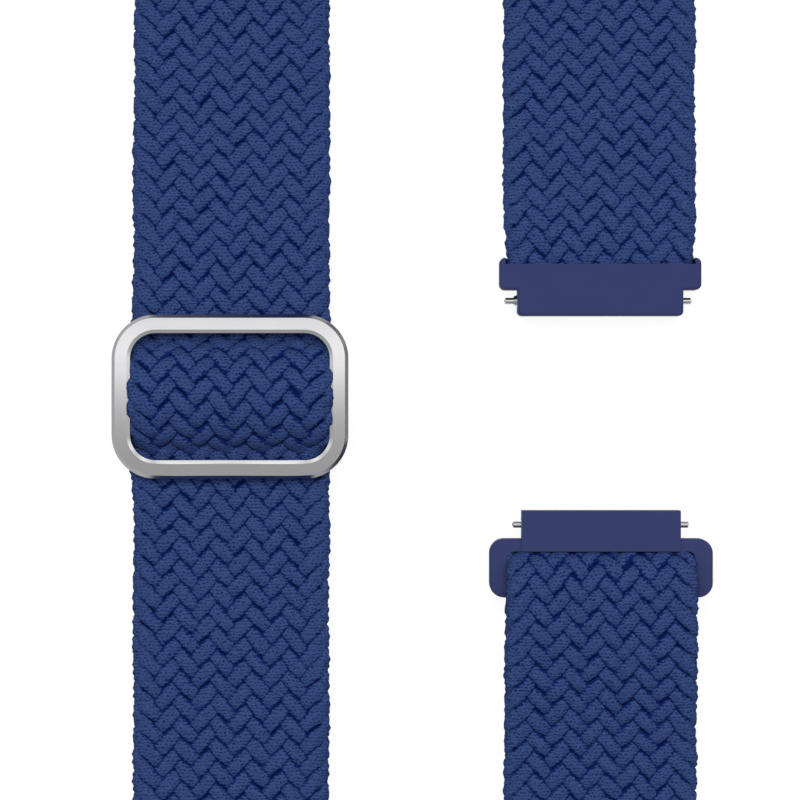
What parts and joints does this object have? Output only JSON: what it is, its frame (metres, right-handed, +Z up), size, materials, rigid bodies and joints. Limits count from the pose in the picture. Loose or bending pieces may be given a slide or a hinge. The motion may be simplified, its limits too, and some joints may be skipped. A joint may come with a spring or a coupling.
{
  "type": "watch strap",
  "caption": "Flat braided elastic watch strap with a metal length slider and moulded ends on quick release spring bars.",
  "frame": {"origin": "centre of the strap's loop on the surface it lies on", "axes": "+Z up from the surface, out of the strap's outer face; +Y along the straight columns, from the loop end towards the fixed end; +X from the slider's column to the column with the watch ends"},
  "size_m": [0.0714, 0.1556, 0.022],
  "materials": {
    "braid": "elastic woven yarn",
    "slider_metal": "satin",
    "end_plastic": "matte moulded",
    "bar_steel": "bright turned",
    "spring_steel": "drawn wire"
  },
  "bodies": {
    "strap": {"band_fixed_run": "braid", "band_sealed_end": "braid", "band_upper_turn": "braid", "band_upper_stretch": "braid", "band_lower_stretch": "braid", "band_lower_turn": "braid", "band_ring_loop": "braid", "band_return_turn": "braid", "band_return_stretch": "braid", "fixed_end_housing": "end_plastic", "fixed_bar_tube": "bar_steel", "fixed_bar_pivot": "bar_steel", "fixed_bar_spring": "spring_steel"},
    "slider": {"slider_frame": "slider_metal", "slider_crossbar": "slider_metal", "band_in_slider": "braid", "band_sewn_end": "braid"},
    "loop_end": {"loop_end_ring": "end_plastic", "loop_bar_tube": "bar_steel", "loop_bar_pivot": "bar_steel", "loop_bar_spring": "spring_steel"},
    "fixed_plunger": {"fixed_bar_plunger": "bar_steel", "fixed_release_knob": "bar_steel"},
    "loop_plunger": {"loop_bar_plunger": "bar_steel", "loop_release_knob": "bar_steel"}
  },
  "joints": [
    {"name": "slider_travel", "type": "slide", "parent": "strap", "child": "slider", "axis": [0, 1, 0], "range_m": [-0.016, 0.016], "deforming": ["band_upper_stretch", "band_lower_stretch", "band_return_stretch"]},
    {"name": "loop_end_swing", "type": "hinge", "parent": "strap", "child": "loop_end", "pos_m": [0.02243, -0.0219, 0.00362], "axis": [1, 0, 0], "range_deg": [-70, 70]},
    {"name": "fixed_plunger_press", "type": "slide", "parent": "strap", "child": "fixed_plunger", "axis": [1, 0, 0], "range_m": [0, 0.0011], "stiffness_N_per_m": 800, "springref_m": -0.001, "deforming": ["fixed_bar_spring"]},
    {"name": "loop_plunger_press", "type": "slide", "parent": "loop_end", "child": "loop_plunger", "axis": [1, 0, 0], "range_m": [0, 0.0011], "stiffness_N_per_m": 800, "springref_m": -0.001, "deforming": ["loop_bar_spring"]}
  ]
}
